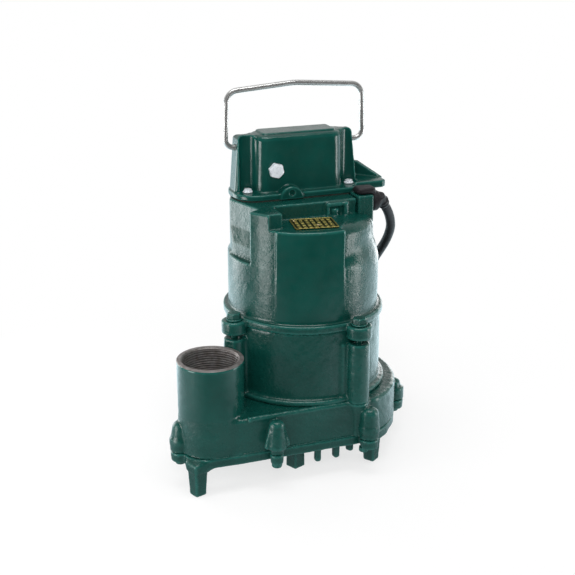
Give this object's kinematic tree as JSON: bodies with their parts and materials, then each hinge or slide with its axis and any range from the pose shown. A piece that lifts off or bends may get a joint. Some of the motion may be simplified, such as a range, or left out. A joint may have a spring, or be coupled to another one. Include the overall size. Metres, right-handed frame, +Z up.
{
  "type": "submersible sump pump",
  "caption": "Cast-iron submersible sump pump with a side pipe discharge, a strainer foot, a wire carrying bail and a coiled power cord.",
  "frame": {"origin": "on the floor, under the middle of the pump's box, cord and plug left out", "axes": "+Z up along the pump; -Y is the side with the nameplate ledge; the discharge stands at -X"},
  "size_m": [0.2896, 0.3168, 0.3363],
  "materials": {
    "green_enamel": "gloss enamel over sand-cast iron",
    "zinc_steel": "zinc plated",
    "stainless_wire": "bright drawn wire",
    "brass_plate": "stamped plate",
    "plug_brass": "bright",
    "cord_rubber": "moulded jacket",
    "seal_rubber": "nitrile",
    "gasket_fibre": "pressed fibre",
    "lamination_steel": "stacked sheet",
    "winding_copper": "enamelled wire",
    "bearing_steel": "ground",
    "impeller_iron": "as cast",
    "seal_carbon": "lapped carbon",
    "terminal_plastic": "moulded"
  },
  "bodies": {
    "pump": {"adapter": "green_enamel", "base_gasket": "gasket_fibre", "base_plate": "green_enamel", "base_screw_1": "zinc_steel", "base_screw_2": "zinc_steel", "base_screw_3": "zinc_steel", "base_screw_4": "zinc_steel", "base_screw_5": "zinc_steel", "base_screw_6": "zinc_steel", "base_screw_7": "zinc_steel", "cap_gasket": "gasket_fibre", "cap_screw_1": "zinc_steel", "cap_screw_2": "zinc_steel", "cap_screw_3": "zinc_steel", "cap_screw_4": "zinc_steel", "cord_plug": "cord_rubber", "gland_block": "green_enamel", "housing_seal": "seal_rubber", "lower_bearing": "bearing_steel", "lower_winding": "winding_copper", "motor_housing": "green_enamel", "nameplate": "brass_plate", "nameplate_rivet_1": "brass_plate", "nameplate_rivet_2": "brass_plate", "plug_blade_left": "plug_brass", "plug_blade_right": "plug_brass", "plug_bolt": "zinc_steel", "plug_ground_pin": "plug_brass", "power_cord": "cord_rubber", "power_cord_coil": "cord_rubber", "power_cord_lead": "cord_rubber", "seal_seat": "seal_carbon", "stator_core": "lamination_steel", "strain_relief": "cord_rubber", "terminal_block": "terminal_plastic", "terminal_cap": "green_enamel", "through_bolt_1": "green_enamel", "through_bolt_2": "green_enamel", "through_bolt_3": "green_enamel", "through_bolt_4": "green_enamel", "upper_bearing": "bearing_steel", "upper_winding": "winding_copper", "volute_casing": "green_enamel"},
    "rotor": {"rotor_shaft": "bearing_steel", "rotor_core": "lamination_steel", "impeller": "impeller_iron", "seal_head": "seal_carbon", "seal_spring": "stainless_wire"},
    "bail": {"bail_handle": "stainless_wire"}
  },
  "joints": [
    {"name": "rotor_spin", "type": "hinge", "parent": "pump", "child": "rotor", "pos_m": [0.0215, -0.002, 0.12], "axis": [0, 0, 1], "continuous": true},
    {"name": "bail_swing", "type": "hinge", "parent": "pump", "child": "bail", "pos_m": [0.0215, 0.0186, 0.2811], "axis": [1, 0, 0], "range_deg": [-125, 125]}
  ]
}
